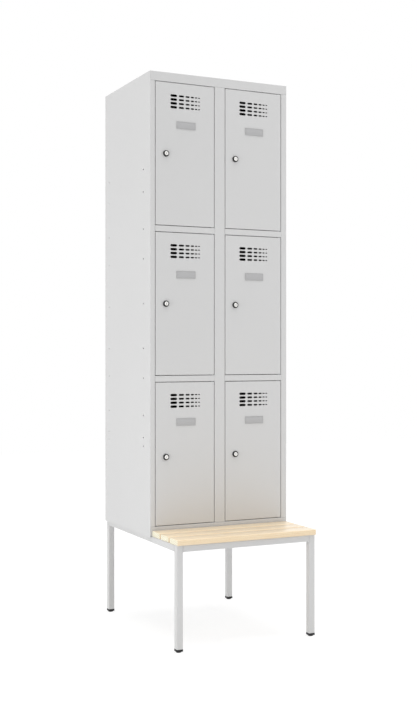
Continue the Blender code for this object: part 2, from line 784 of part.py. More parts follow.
def glide(place, column, x, y):
    """A plastic glide: square plug in the leg, square flange under it and a tapered foot."""
    corner = TUBE_CORNER_RADIUS
    plug_width = TUBE_WIDTH - 2 * TUBE_WALL - 2 * SEAM
    plug = rounded_square(plug_width, corner, TUBE_CORNER_STEPS, (x, y))
    flange = rounded_square(TUBE_WIDTH, corner, TUBE_CORNER_STEPS, (x, y))
    flange_bottom = GLIDE_HEIGHT - GLIDE_FLANGE_THICKNESS

    def disc(radius):
        return rounded_square(2 * radius, radius * 0.98, TUBE_CORNER_STEPS, (x, y))

    bm = bmesh.new()
    loft(
        bm,
        [
            in_plane(disc(GLIDE_SOLE_RADIUS), "Z", 0.0),
            in_plane(disc(GLIDE_TOP_RADIUS), "Z", flange_bottom),
            in_plane(flange, "Z", flange_bottom),
            in_plane(flange, "Z", GLIDE_HEIGHT),
            in_plane(plug, "Z", GLIDE_HEIGHT),
            in_plane(plug, "Z", GLIDE_HEIGHT + GLIDE_PLUG_HEIGHT),
        ],
    )
    finish(f"glide_{place}_{column}", bm, BLACK_PLASTIC, smooth_angle=30)


def bench_slats():
    """Three beech boards across the side rails, with eased long edges."""
    for number in range(SLAT_COUNT):
        rear = FRONT - SLAT_BODY_SPACE - number * (SLAT_WIDTH + SLAT_SPACE)
        centre = (rear - SLAT_WIDTH / 2, UNDERFRAME_HEIGHT + SEAM + SLAT_THICKNESS / 2)
        outline = rounded_square(
            SLAT_WIDTH, SLAT_EDGE_RADIUS, BEND_STEPS, centre, SLAT_THICKNESS
        )
        bm = bmesh.new()
        reach = SIDE - SLAT_END_INSET
        prism(bm, outline, "X", -reach, reach)
        finish(f"bench_slat_{number + 1}", bm, BEECH, smooth_angle=40)


top_panel()
base_panel()
back_panel()
centre_partition()
for column_name in COLUMNS:
    side_panel(column_name)
    hinge_pins(column_name)
    for tier_name in TIERS[:-1]:
        shelf(column_name, tier_name)
    for tier_name in TIERS:
        door(column_name, tier_name)
        lock_housing(column_name, tier_name)
        lock_plug(column_name, tier_name)
        label_holder(column_name, tier_name)
underframe()
for column_name, leg_x in (("left", -LEG_X), ("right", LEG_X)):
    for leg_place, leg_y in (("front", FRONT_LEG_Y), ("rear", REAR_LEG_Y)):
        glide(leg_place, column_name, leg_x, leg_y)
bench_slats()
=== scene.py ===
import json
import math

import bpy
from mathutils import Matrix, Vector


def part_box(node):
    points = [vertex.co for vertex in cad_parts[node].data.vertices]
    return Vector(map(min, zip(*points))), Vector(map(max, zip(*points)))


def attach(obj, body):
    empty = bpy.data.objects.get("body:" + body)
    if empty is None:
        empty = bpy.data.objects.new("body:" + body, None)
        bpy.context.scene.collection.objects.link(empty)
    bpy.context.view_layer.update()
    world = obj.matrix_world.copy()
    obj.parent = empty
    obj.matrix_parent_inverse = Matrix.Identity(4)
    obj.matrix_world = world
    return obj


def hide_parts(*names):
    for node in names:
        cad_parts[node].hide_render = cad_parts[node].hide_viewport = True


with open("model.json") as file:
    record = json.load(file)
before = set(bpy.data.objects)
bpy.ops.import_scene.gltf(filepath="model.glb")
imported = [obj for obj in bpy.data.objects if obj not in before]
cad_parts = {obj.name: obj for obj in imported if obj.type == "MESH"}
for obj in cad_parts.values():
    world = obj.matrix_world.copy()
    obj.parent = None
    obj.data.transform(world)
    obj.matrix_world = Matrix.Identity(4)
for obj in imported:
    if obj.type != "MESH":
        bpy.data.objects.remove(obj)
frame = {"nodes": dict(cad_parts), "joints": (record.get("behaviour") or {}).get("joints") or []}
nodes = frame["nodes"]
joints = {joint["name"]: joint for joint in frame["joints"]}
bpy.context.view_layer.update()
bpy.ops.object.select_all(action="DESELECT")


# Underframe: mild steel tube, 25 mm square, cut square, welded and powder coated.
# The rails butt between the legs. Each joint is welded along its underside and its
# inner side, and the outer faces are ground flush before painting.
TUBE_CORNER = 0.0025
WELD_RADIUS = 0.0016
WELD_RIPPLE = 0.0003
WELD_RIPPLES = 9
WELD_SIDES = 10
SMOOTH_BELOW = 35


def linear(colour):
    """Turns an sRGB hex colour into the linear one that a shader takes."""
    channels = [int(colour[i:i + 2], 16) / 255 for i in (1, 3, 5)]
    return [c / 12.92 if c <= 0.04045 else ((c + 0.055) / 1.055) ** 2.4 for c in channels] + [1]


def add_node(material, kind, settings=(), links=()):
    """Adds a node. Lower-case settings are its properties, and the others are its inputs."""
    node = material.node_tree.nodes.new(kind)
    for key, value in dict(settings).items():
        if isinstance(key, str) and key[0].islower():
            setattr(node, key, value)
        else:
            node.inputs[key].default_value = value
    for key, output in dict(links).items():
        material.node_tree.links.new(output, node.inputs[key])
    return node


def new_material(name, **values):
    """A material with a Principled shader, and the point on the object as a node output."""
    material = bpy.data.materials.new(name)
    material.use_nodes = True
    shader = material.node_tree.nodes["Principled BSDF"]
    for key, value in values.items():
        shader.inputs[key.replace("_", " ")].default_value = value
    place = add_node(material, "ShaderNodeTexCoord").outputs["Object"]
    return material, shader, place


def connect(material, shader, **outputs):
    """Links outputs to the shader's inputs, named with underscores for spaces."""
    for key, output in outputs.items():
        material.node_tree.links.new(output, shader.inputs[key.replace("_", " ")])


def powder_coat(name, colour, thin_colour):
    """Polyester powder coat, baked on steel: satin, even, with a faint orange peel."""
    material, shader, place = new_material(name, Roughness=0.40, IOR=1.5)
    # The peel is about 1.5 mm from crest to crest, too fine to show, so it is drawn at 4 mm
    peel = add_node(
        material, "ShaderNodeTexNoise",
        {"Scale": 250.0, "Detail": 2.0, "Roughness": 0.5}, {"Vector": place},
    )
    bump = add_node(
        material, "ShaderNodeBump",
        {"Strength": 0.10, "Distance": 0.0002}, {"Height": peel.outputs["Fac"]},
    )
    # The film varies a little in thickness over half a metre, which shifts its tone
    film = add_node(
        material, "ShaderNodeTexNoise", {"Scale": 2.2, "Detail": 1.0}, {"Vector": place}
    )
    tone = add_node(
        material, "ShaderNodeMix",
        {"data_type": "RGBA", 6: linear(thin_colour), 7: linear(colour)},
        {0: film.outputs["Fac"]},
    )
    connect(material, shader, Base_Color=tone.outputs[2], Normal=bump.outputs["Normal"])
    return material


def dress(material, *starts):
    """Gives a material to the CAD nodes whose names start with one of these words."""
    for name, node in nodes.items():
        if name.startswith(starts):
            node.data.materials.clear()
            node.data.materials.append(material)


def keep(piece, name, material, body):
    """Names a finished piece, gives it its material and lets it ride on a body."""
    piece.name = name
    piece.data.name = name
    piece.data.materials.clear()
    piece.data.materials.append(material)
    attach(piece, body)
    piece.select_set(False)
    return piece


def select_only(*pieces):
    """Selects these pieces alone, the first one active."""
    bpy.ops.object.select_all(action="DESELECT")
    for piece in pieces:
        piece.select_set(True)
    bpy.context.view_layer.objects.active = pieces[0]


def placed(piece, centre, turn=(0, 0, 0)):
    """Turns a piece made at the origin, by degrees, puts it at a point and applies both."""
    select_only(piece)
    piece.rotation_euler = [math.radians(angle) for angle in turn]
    piece.location = centre
    bpy.ops.object.transform_apply(location=True, rotation=True, scale=True)
    return piece


def copied(piece, offset, turn=(0, 0, 0)):
    """A copy with its own mesh, turned about the origin and then moved by an offset."""
    select_only(piece)
    bpy.ops.object.duplicate(linked=False)
    return placed(bpy.context.active_object, offset, turn)


def joined(pieces):
    """Joins pieces into the first one."""
    select_only(*pieces)
    bpy.ops.object.join()
    return pieces[0]


def turned(profile, sides):
    """A round piece about Z, extruded from one (radius, height) point of a profile to the next."""
    radius, height = profile[0]
    bpy.ops.object.select_all(action="DESELECT")
    bpy.ops.mesh.primitive_circle_add(
        vertices=sides, radius=radius, fill_type="NGON", location=(0, 0, height)
    )
    piece = bpy.context.active_object
    bpy.ops.object.transform_apply(location=True, rotation=True, scale=True)
    bpy.ops.object.mode_set(mode="EDIT")
    bpy.ops.mesh.select_all(action="SELECT")
    for (r0, h0), (r1, h1) in zip(profile, profile[1:]):
        bpy.ops.mesh.extrude_region_move(TRANSFORM_OT_translate={"value": (0, 0, h1 - h0)})
        bpy.ops.transform.resize(value=(r1 / r0, r1 / r0, 1), center_override=(0, 0, h1))
    bpy.ops.mesh.select_all(action="SELECT")
    bpy.ops.mesh.normals_make_consistent(inside=False)
    bpy.ops.object.mode_set(mode="OBJECT")
    bpy.ops.object.shade_smooth_by_angle(angle=math.radians(SMOOTH_BELOW))
    return piece


light_grey_coat = powder_coat("light_grey_powder_coat", "#D1D1D1", "#CECECE")
dress(light_grey_coat, "leg_", "side_rail_", "front_rail", "rear_rail")

# One bead 20 mm long, rippled, made along Z and then copied to every welded edge
rail_low, rail_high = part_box("side_rail_left")
tube_width = rail_high.x - rail_low.x
bead_length = tube_width - 2 * TUBE_CORNER
ripples = []
for step in range(2 * WELD_RIPPLES + 1):
    height = bead_length * (step / (2 * WELD_RIPPLES) - 0.5)
    ripples.append((WELD_RADIUS - WELD_RIPPLE * (step % 2), height))
tips = (WELD_RADIUS / 2, bead_length / 2 + WELD_RADIUS / 2)
bead = turned([(tips[0], -tips[1]), *ripples, tips], WELD_SIDES)
beads = []
for rail in ("side_rail_left", "side_rail_right"):
    low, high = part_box(rail)
    middle = (low + high) / 2
    inner_x = high.x if middle.x < 0 else low.x
    for end in (low.y, high.y):
        beads.append(copied(bead, (middle.x, end, low.z), (0, 90, 0)))
        beads.append(copied(bead, (inner_x, end, middle.z)))
for rail in ("front_rail", "rear_rail"):
    low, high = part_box(rail)
    middle = (low + high) / 2
    inner_y = high.y if rail == "front_rail" else low.y
    for end in (low.x, high.x):
        beads.append(copied(bead, (end, middle.y, low.z), (90, 0, 0)))
        beads.append(copied(bead, (end, inner_y, middle.z)))
bpy.data.objects.remove(bead)
keep(joined(beads), "underframe_welds", light_grey_coat, "cabinet")


# Glides: black polyethylene, moulded in one piece and knocked into the ends of the legs.
# A square flange shows under each tube, and a tapered round foot under the flange.
GLIDE_SOLE_RADIUS = 0.0095
GLIDE_TOP_RADIUS = 0.0115
GLIDE_FLANGE_THICKNESS = 0.0085
GLIDE_EDGE = 0.0005
GLIDE_SIDES = 32


def fine_grained(name, colour, roughness):
    """Moulded plastic, or enamel stoved on a casting: dull, with a fine grain."""
    material, shader, place = new_material(
        name, Base_Color=linear(colour), Roughness=roughness, IOR=1.5
    )
    # The grain is about 0.2 mm wide, and is drawn at 0.6 mm
    grain = add_node(
        material, "ShaderNodeTexNoise", {"Scale": 1600.0, "Detail": 1.0}, {"Vector": place}
    )
    bump = add_node(
        material, "ShaderNodeBump",
        {"Strength": 0.25, "Distance": 0.0001}, {"Height": grain.outputs["Fac"]},
    )
    connect(material, shader, Normal=bump.outputs["Normal"])
    return material


black_polyethylene = fine_grained("black_moulded_polyethylene", "#0A0A0B", 0.60)
glide_names = [name for name in nodes if name.startswith("glide_")]
leg_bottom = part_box("leg_front_left")[0].z
flange_bottom = leg_bottom - GLIDE_FLANGE_THICKNESS
foot = turned(
    [
        (GLIDE_SOLE_RADIUS - GLIDE_EDGE, 0.0),
        (GLIDE_SOLE_RADIUS, GLIDE_EDGE),
        (GLIDE_TOP_RADIUS, flange_bottom - GLIDE_EDGE),
        (GLIDE_TOP_RADIUS - GLIDE_EDGE, flange_bottom),
        (GLIDE_TOP_RADIUS - GLIDE_EDGE, leg_bottom),
    ],
    GLIDE_SIDES,
)


def block(size, centre):
    """A block of a size at a place, to shape further or to cut with."""
    bpy.ops.object.select_all(action="DESELECT")
    bpy.ops.mesh.primitive_cube_add(size=1)
    piece = bpy.context.active_object
    piece.scale = size
    return placed(piece, centre)


def rounded(piece, width, segments=3, angle=40):
    """Rounds a piece's sharp edges, and shades it smooth across them."""
    select_only(piece)
    bevel = piece.modifiers.new("rounded_edges", "BEVEL")
    bevel.width = width
    bevel.segments = segments
    bevel.limit_method = "ANGLE"
    bevel.angle_limit = math.radians(angle)
    bpy.ops.object.modifier_apply(modifier=bevel.name)
    bpy.ops.object.shade_smooth_by_angle(angle=math.radians(SMOOTH_BELOW))
    return piece


flange_size = (tube_width, tube_width, GLIDE_FLANGE_THICKNESS)
flange = block(flange_size, (0, 0, flange_bottom + GLIDE_FLANGE_THICKNESS / 2))
glide = joined([foot, rounded(flange, GLIDE_EDGE)])
for name in glide_names:
    low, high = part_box(name)
    piece = copied(glide, ((low.x + high.x) / 2, (low.y + high.y) / 2, low.z))
    keep(piece, f"moulded_{name}", black_polyethylene, "cabinet")
    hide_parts(name)
bpy.data.objects.remove(glide)


# Bench slats: three boards of steamed beech, planed, with eased edges and a clear satin
# lacquer. Two screws through the side rail hold each end, driven from below.
SLAT_EDGE = 0.0028
SCREW_SPREAD = 0.021
SCREW_SIDES = 24
SCREW_HEAD_RADIUS = 0.0042
SCREW_HEAD_HEIGHT = 0.0026
RECESS_LENGTH = 0.0046
RECESS_WIDTH = 0.0011
RECESS_DEPTH = 0.0015
# A pan head from its rim up, in shares of its radius and of its height
PAN_HEAD = ((1.0, 0.0), (1.0, 0.4), (0.9, 0.75), (0.65, 0.95), (0.3, 1.0))


def lacquered_beech(name):
    """Steamed beech under clear lacquer: pale and warm, with long fine grain and flecks."""
    material, shader, place = new_material(
        name, Roughness=0.36, IOR=1.5, Coat_Weight=0.60, Coat_Roughness=0.20
    )
    # Growth rings 6 mm apart, cut at a slant and drifting by a few millimetres
    tilted = add_node(
        material, "ShaderNodeMapping",
        {"Rotation": (math.radians(24), math.radians(0.6), math.radians(0.9))},
        {"Vector": place},
    )
    rings = add_node(
        material, "ShaderNodeTexWave",
        {
            "wave_type": "BANDS", "bands_direction": "Z", "wave_profile": "SAW",
            "Scale": 52.0, "Distortion": 3.5, "Detail": 2.0, "Detail Scale": 0.25,
        },
        {"Vector": tilted.outputs["Vector"]},
    )
    # Vessels: streaks 0.3 mm wide and 40 mm long, drawn at 1 mm
    stretched = add_node(
        material, "ShaderNodeMapping", {"Scale": (0.03, 1.0, 1.0)}, {"Vector": place}
    )
    streaks = add_node(
        material, "ShaderNodeTexNoise",
        {"Scale": 900.0, "Detail": 3.0, "Roughness": 0.6},
        {"Vector": stretched.outputs["Vector"]},
    )
    # Boards differ in tone along their length, over 200 mm
    drifting = add_node(
        material, "ShaderNodeMapping", {"Scale": (0.35, 1.0, 1.0)}, {"Vector": place}
    )
    drift = add_node(
        material, "ShaderNodeTexNoise",
        {"Scale": 16.0, "Detail": 2.0}, {"Vector": drifting.outputs["Vector"]},
    )
    # Ray flecks: short darker dashes 3 mm long, drawn at 8 mm
    dashed = add_node(
        material, "ShaderNodeMapping", {"Scale": (0.22, 1.0, 1.0)}, {"Vector": place}
    )
    flecks = add_node(
        material, "ShaderNodeTexVoronoi",
        {"Scale": 420.0, "Randomness": 1.0}, {"Vector": dashed.outputs["Vector"]},
    )
    fleck = add_node(
        material, "ShaderNodeMapRange",
        {"From Min": 0.10, "From Max": 0.24, "To Min": 1.0, "To Max": 0.0},
        {"Value": flecks.outputs["Distance"]},
    )
    early = add_node(
        material, "ShaderNodeMix",
        {"data_type": "RGBA", 6: linear("#F5E4C6"), 7: linear("#EDD7B4")},
        {0: rings.outputs["Fac"]},
    )
    toned = add_node(
        material, "ShaderNodeMix",
        {"data_type": "RGBA", "blend_type": "MULTIPLY", 7: linear("#FAF4EC")},
        {0: drift.outputs["Fac"], 6: early.outputs[2]},
    )
    streaked = add_node(
        material, "ShaderNodeMix",
        {"data_type": "RGBA", "blend_type": "OVERLAY", 0: 0.30},
        {6: toned.outputs[2], 7: streaks.outputs["Fac"]},
    )
    flecked = add_node(
        material, "ShaderNodeMix",
        {"data_type": "RGBA", 7: linear("#DDC095")},
        {0: fleck.outputs["Result"], 6: streaked.outputs[2]},
    )
    # The sawn ends are paler and yellower. The rings cross them, and the pores stand on end
    # there: specks 0.1 mm wide, drawn at 1.5 mm
    crossed = add_node(
        material, "ShaderNodeMix",
        {"data_type": "RGBA", 6: linear("#FFFDEA"), 7: linear("#DED4AF")},
        {0: rings.outputs["Fac"]},
    )
    pores = add_node(
        material, "ShaderNodeTexNoise",
        {"Scale": 620.0, "Detail": 2.0, "Roughness": 0.6}, {"Vector": place},
    )
    speck = add_node(
        material, "ShaderNodeMapRange",
        {"From Min": 0.40, "From Max": 0.52, "To Min": 0.45, "To Max": 0.0},
        {"Value": pores.outputs["Fac"]},
    )
    end_grain = add_node(
        material, "ShaderNodeMix",
        {"data_type": "RGBA", 7: linear("#BFAF84")},
        {0: speck.outputs["Result"], 6: crossed.outputs[2]},
    )
    facing = add_node(material, "ShaderNodeTexCoord")
    towards = add_node(
        material, "ShaderNodeSeparateXYZ", (), {"Vector": facing.outputs["Normal"]}
    )
    sideways = add_node(
        material, "ShaderNodeMath", {"operation": "ABSOLUTE"}, {0: towards.outputs["X"]}
    )
    sawn = add_node(
        material, "ShaderNodeMapRange", {"From Min": 0.5, "From Max": 0.8},
        {"Value": sideways.outputs[0]},
    )
    surface = add_node(
        material, "ShaderNodeMix", {"data_type": "RGBA"},
        {0: sawn.outputs["Result"], 6: flecked.outputs[2], 7: end_grain.outputs[2]},
    )
    bump = add_node(
        material, "ShaderNodeBump",
        {"Strength": 0.15, "Distance": 0.0003}, {"Height": streaks.outputs["Fac"]},
    )
    connect(material, shader, Base_Color=surface.outputs[2], Normal=bump.outputs["Normal"])
    return material


beech = lacquered_beech("clear_lacquered_beech")
slat_names = [name for name in nodes if name.startswith("bench_slat_")]
for name in slat_names:
    low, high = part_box(name)
    slat = rounded(block(high - low, (low + high) / 2), SLAT_EDGE, segments=5)
    keep(slat, f"beech_{name}", beech, "cabinet")
    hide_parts(name)


def zinc_plate(name, colour, roughness):
    """Zinc plate, blue passivated, on a pressed steel part: dull silver with a faint mottle."""
    material, shader, place = new_material(name, Metallic=1.0)
    # Crystals in the plate are about 1 mm across
    mottle = add_node(
        material, "ShaderNodeTexNoise", {"Scale": 700.0, "Detail": 3.0}, {"Vector": place}
    )
    tone = add_node(
        material, "ShaderNodeMix",
        {"data_type": "RGBA", 6: linear(colour), 7: linear("#C9CCD0")},
        {0: mottle.outputs["Fac"]},
    )
    polish = add_node(
        material, "ShaderNodeMapRange",
        {"To Min": roughness - 0.08, "To Max": roughness + 0.08},
        {"Value": mottle.outputs["Fac"]},
    )
    connect(material, shader, Base_Color=tone.outputs[2], Roughness=polish.outputs["Result"])
    return material


blue_zinc = zinc_plate("blue_zinc_plated_steel", "#B4B7BB", 0.38)


def cut(piece, cutter):
    """Cuts one piece out of another, and removes the cutter."""
    select_only(piece)
    boolean = piece.modifiers.new("cut", "BOOLEAN")
    boolean.operation = "DIFFERENCE"
    boolean.object = cutter
    bpy.ops.object.modifier_apply(modifier=boolean.name)
    bpy.data.objects.remove(cutter)
    return piece


def round_head(shares, radius, height, sides):
    """A fastener's head about Z, from a profile in shares of its radius and of its height."""
    return turned([(radius * across, height * up) for across, up in shares], sides)


# A screw with a cross recess, made head up at the origin and turned over when copied
screw = round_head(PAN_HEAD, SCREW_HEAD_RADIUS, SCREW_HEAD_HEIGHT, SCREW_SIDES)
for arm in ((RECESS_LENGTH, RECESS_WIDTH), (RECESS_WIDTH, RECESS_LENGTH)):
    cut(screw, block((*arm, 2 * RECESS_DEPTH), (0, 0, SCREW_HEAD_HEIGHT)))
for side in ("left", "right"):
    low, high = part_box(f"side_rail_{side}")
    screws = []
    for name in slat_names:
        slat_low, slat_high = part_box(name)
        for shift in (-SCREW_SPREAD, SCREW_SPREAD):
            spot = ((low.x + high.x) / 2, (slat_low.y + slat_high.y) / 2 + shift, low.z)
            screws.append(copied(screw, spot, (180, 0, 0)))
    keep(joined(screws), f"slat_screws_{side}", blue_zinc, "cabinet")
bpy.data.objects.remove(screw)


# Body: 1 mm sheet steel, punched, folded and spot welded. The back is riveted to the folded
# edges of the sides, and then all is powder coated inside and out.
REAR_RIVETS = 7
REAR_RIVET_INSET = 0.0080
RIVET_SIDES = 16
RIVET_RADIUS = 0.0032
RIVET_HEIGHT = 0.0009
# A blind rivet's dome, with the hollow that its broken stem leaves
DOME_HEAD = ((1.0, -0.5), (0.92, 0.5), (0.70, 0.9), (0.42, 1.0), (0.40, 0.3))

dress(light_grey_coat, "side_panel_", "top_panel", "base_panel", "back_panel")
dress(light_grey_coat, "centre_partition", "shelf_")
rivet = round_head(DOME_HEAD, RIVET_RADIUS, RIVET_HEIGHT, RIVET_SIDES)
rivets = []
for side, inward in (("left", 1), ("right", -1)):
    low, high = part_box(f"side_panel_{side}")
    edge = low.x if side == "left" else high.x
    for number in range(REAR_RIVETS):
        height = low.z + (high.z - low.z) * (number + 0.5) / REAR_RIVETS
        spot = (edge + inward * REAR_RIVET_INSET, high.y, height)
        rivets.append(copied(rivet, spot, (-90, 0, 0)))
keep(joined(rivets), "rear_rivets", light_grey_coat, "cabinet")
bpy.data.objects.remove(rivet)


# Shelf rivets: black nylon, pushed from outside into those holes of the sides that have a
# shelf's flange behind them. A pin in the middle spreads each, and the heads lie flush. Their
# black is partly painted shade, which makes these holes as dark as the open holes of the same
# rows.
FRONT_ROW_INSET = 0.070
FRONT_HEAD_RADIUS = 0.0031
REAR_ROW_INSET = 0.048
REAR_HEAD_RADIUS = 0.0024
HEADS_BELOW_SHELF = 0.010
HEAD_SIDES = 24
HEAD_HEIGHT = 0.0010
# A flat head with the sunk end of its pin
FLAT_HEAD = ((0.9, -0.2), (1.0, 0.2), (0.95, 0.7), (0.75, 1.0), (0.45, 1.0), (0.40, 0.6))

# The black of these heads is partly painted shade, to match the dark of the open holes beside
# them.
shade_black_nylon = fine_grained("shade_black_moulded_nylon", "#0C0C0D", 0.45)
for side, turn in (("left", -90), ("right", 90)):
    low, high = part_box(f"side_panel_{side}")
    front_row = (low.y + FRONT_ROW_INSET, FRONT_HEAD_RADIUS)
    rear_row = (high.y - REAR_ROW_INSET, REAR_HEAD_RADIUS)
    heads = []
    for y, radius in (front_row, rear_row):
        head = round_head(FLAT_HEAD, radius, HEAD_HEIGHT, HEAD_SIDES)
        for tier in ("upper", "middle"):
            shelf_low, shelf_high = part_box(f"shelf_{tier}_{side}")
            flange = shelf_low.x if side == "left" else shelf_high.x
            spot = (flange, y, shelf_high.z - HEADS_BELOW_SHELF)
            heads.append(copied(head, spot, (0, turn, 0)))
        bpy.data.objects.remove(head)
    keep(joined(heads), f"shelf_rivets_{side}", shade_black_nylon, "cabinet")


# Doors: pans of the same sheet with rows of punched slots, coated on every side. They
# turn on hidden pins of zinc-plated steel at the top and bottom of the hinge edge.
dress(light_grey_coat, "door_")
dress(blue_zinc, "hinge_pin_")


# Label holders: grey polystyrene frames, moulded in one piece and pressed on the doors. Each
# holds a grey card, which is blank.
LABEL_RIM = 0.0022
LABEL_RECESS = 0.0007
LABEL_EDGE = 0.0004
CARD_INSET = 0.00253
CARD_THICKNESS = 0.0003

grey_polystyrene = fine_grained("grey_moulded_polystyrene", "#B2B2B2", 0.40)


def blank_card(name, colour):
    """Uncoated grey card: flat, with a soft fibre that shifts its tone a little."""
    material, shader, place = new_material(name, Roughness=0.85, IOR=1.45)
    # Clouds of fibre in the pulp are about 3 mm across
    fibre = add_node(
        material, "ShaderNodeTexNoise", {"Scale": 350.0, "Detail": 4.0}, {"Vector": place}
    )
    tone = add_node(
        material, "ShaderNodeMix",
        {"data_type": "RGBA", 6: linear("#B0B0B1"), 7: linear(colour)},
        {0: fibre.outputs["Fac"]},
    )
    connect(material, shader, Base_Color=tone.outputs[2])
    return material


grey_card = blank_card("grey_blank_card", "#B8B8B9")
door_places = [name.removeprefix("door_") for name in nodes if name.startswith("door_")]
for where in door_places:
    low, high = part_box(f"label_holder_{where}")
    holder = block(high - low, (low + high) / 2)
    bpy.ops.object.mode_set(mode="EDIT")
    bpy.ops.mesh.select_all(action="DESELECT")
    bpy.ops.object.mode_set(mode="OBJECT")
    for face in holder.data.polygons:
        face.select = face.normal.y < -0.9
    bpy.ops.object.mode_set(mode="EDIT")
    bpy.ops.mesh.select_mode(type="FACE")
    bpy.ops.mesh.inset(thickness=LABEL_RIM)
    bpy.ops.mesh.extrude_region_move(TRANSFORM_OT_translate={"value": (0, LABEL_RECESS, 0)})
    bpy.ops.object.mode_set(mode="OBJECT")
    rounded(holder, LABEL_EDGE, segments=2)
    keep(holder, f"label_frame_{where}", grey_polystyrene, f"door_{where}")
    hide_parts(f"label_holder_{where}")
    inset = Vector((CARD_INSET, 0, CARD_INSET))
    card_low = Vector((low.x, low.y + LABEL_RECESS - CARD_THICKNESS, low.z)) + inset
    card_high = Vector((high.x, low.y + LABEL_RECESS, high.z)) - inset
    card = block(card_high - card_low, (card_low + card_high) / 2)
    rounded(card, CARD_THICKNESS / 3, segments=2)
    keep(card, f"label_card_{where}", grey_card, f"door_{where}")


# Cam locks: a black zinc die-cast housing with a collar in front of the door and a hexagon
# nut behind it, a nickel-plated plug, a black insert in its shallow keyway that paints the
# shade of a deep keyway, and a zinc-plated cam on its rear end.
LOCK_SIDES = 48
LOCK_SEAM = 0.0003
COLLAR_RADIUS = 0.0114
COLLAR_FLANGE_RADIUS = 0.0124
COLLAR_FLANGE = 0.0020
COLLAR_LENGTH = 0.0065
COLLAR_EDGE = 0.0006
SEAT_RADIUS = 0.0080
SEAT_DEPTH = 0.0034
BARREL_RADIUS = 0.0090
NUT_RADIUS = 0.0130
NUT_START = 0.0013
NUT_THICKNESS = 0.0040
PLUG_RADIUS = 0.0076
PLUG_PROUD = 0.0012
ROTOR_RADIUS = 0.0054
GROOVE = 0.0004
KEYWAY_WIDTH = 0.0018
KEYWAY_HEIGHT = 0.0080
KEYWAY_DEPTH = 0.0015
KEYWAY_SHADE_DEPTH = 0.0006
KEYWAY_SHADE_CLEARANCE = 0.0001
CAM_THICKNESS = 0.002
CAM_SIDE_TRIM = 0.0007
CAM_SCREW_RADIUS = 0.0040

black_enamel = fine_grained("black_enamelled_zinc", "#0C0C0D", 0.35)


def nickel_plate(name, colour):
    """Bright nickel on turned and polished brass: nearly a mirror, with an uneven haze."""
    material, shader, place = new_material(name, Metallic=1.0, Base_Color=linear(colour))
    # Wiping marks in the haze are about 0.2 mm wide, and are drawn at 0.5 mm
    haze = add_node(
        material, "ShaderNodeTexNoise", {"Scale": 2200.0, "Detail": 2.0}, {"Vector": place}
    )
    polish = add_node(
        material, "ShaderNodeMapRange", {"To Min": 0.24, "To Max": 0.36},
        {"Value": haze.outputs["Fac"]},
    )
    connect(material, shader, Roughness=polish.outputs["Result"])
    return material


nickel = nickel_plate("bright_nickel_plate", "#F0EFEC")
door_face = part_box("door_upper_left")[0].y
barrel_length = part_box("lock_housing_upper_left")[1].y - door_face
plug_low, plug_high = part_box("lock_plug_upper_left")
cam_front = barrel_length + LOCK_SEAM
cam_rear = cam_front + CAM_THICKNESS
screw_rear = plug_high.y - door_face

# Heights in these profiles are counted from the door's face, towards whoever opens it
housing = turned(
    [
        (BARREL_RADIUS - COLLAR_EDGE, -barrel_length),
        (BARREL_RADIUS, -barrel_length + COLLAR_EDGE),
        (BARREL_RADIUS, LOCK_SEAM),
        (COLLAR_FLANGE_RADIUS, LOCK_SEAM),
        (COLLAR_FLANGE_RADIUS, COLLAR_FLANGE - COLLAR_EDGE),
        (COLLAR_FLANGE_RADIUS - COLLAR_EDGE, COLLAR_FLANGE),
        (COLLAR_RADIUS, COLLAR_FLANGE),
        (COLLAR_RADIUS, COLLAR_LENGTH - COLLAR_EDGE),
        (COLLAR_RADIUS - COLLAR_EDGE, COLLAR_LENGTH),
        (SEAT_RADIUS, COLLAR_LENGTH),
        (SEAT_RADIUS, SEAT_DEPTH),
    ],
    LOCK_SIDES,
)
bpy.ops.object.select_all(action="DESELECT")
bpy.ops.mesh.primitive_cylinder_add(
    vertices=6, radius=NUT_RADIUS, depth=NUT_THICKNESS,
    location=(0, 0, -NUT_START - NUT_THICKNESS / 2),
)
nut = bpy.context.active_object
bpy.ops.object.transform_apply(location=True, rotation=True, scale=True)
rounded(nut, COLLAR_EDGE, segments=2)
plug_front = COLLAR_LENGTH + PLUG_PROUD
plug = turned(
    [
        (CAM_SCREW_RADIUS - GROOVE, -screw_rear),
        (CAM_SCREW_RADIUS, -screw_rear + GROOVE),
        (CAM_SCREW_RADIUS, -cam_rear),
        (CAM_SCREW_RADIUS, SEAT_DEPTH + GROOVE),
        (PLUG_RADIUS, SEAT_DEPTH + GROOVE),
        (PLUG_RADIUS, plug_front - COLLAR_EDGE),
        (PLUG_RADIUS - COLLAR_EDGE, plug_front),
        (ROTOR_RADIUS + GROOVE, plug_front),
        (ROTOR_RADIUS, plug_front - GROOVE),
        (ROTOR_RADIUS - GROOVE, plug_front - GROOVE),
        (ROTOR_RADIUS - 2 * GROOVE, plug_front),
    ],
    LOCK_SIDES,
)
cut(plug, block((KEYWAY_WIDTH, KEYWAY_HEIGHT, 2 * KEYWAY_DEPTH), (0, 0, plug_front)))
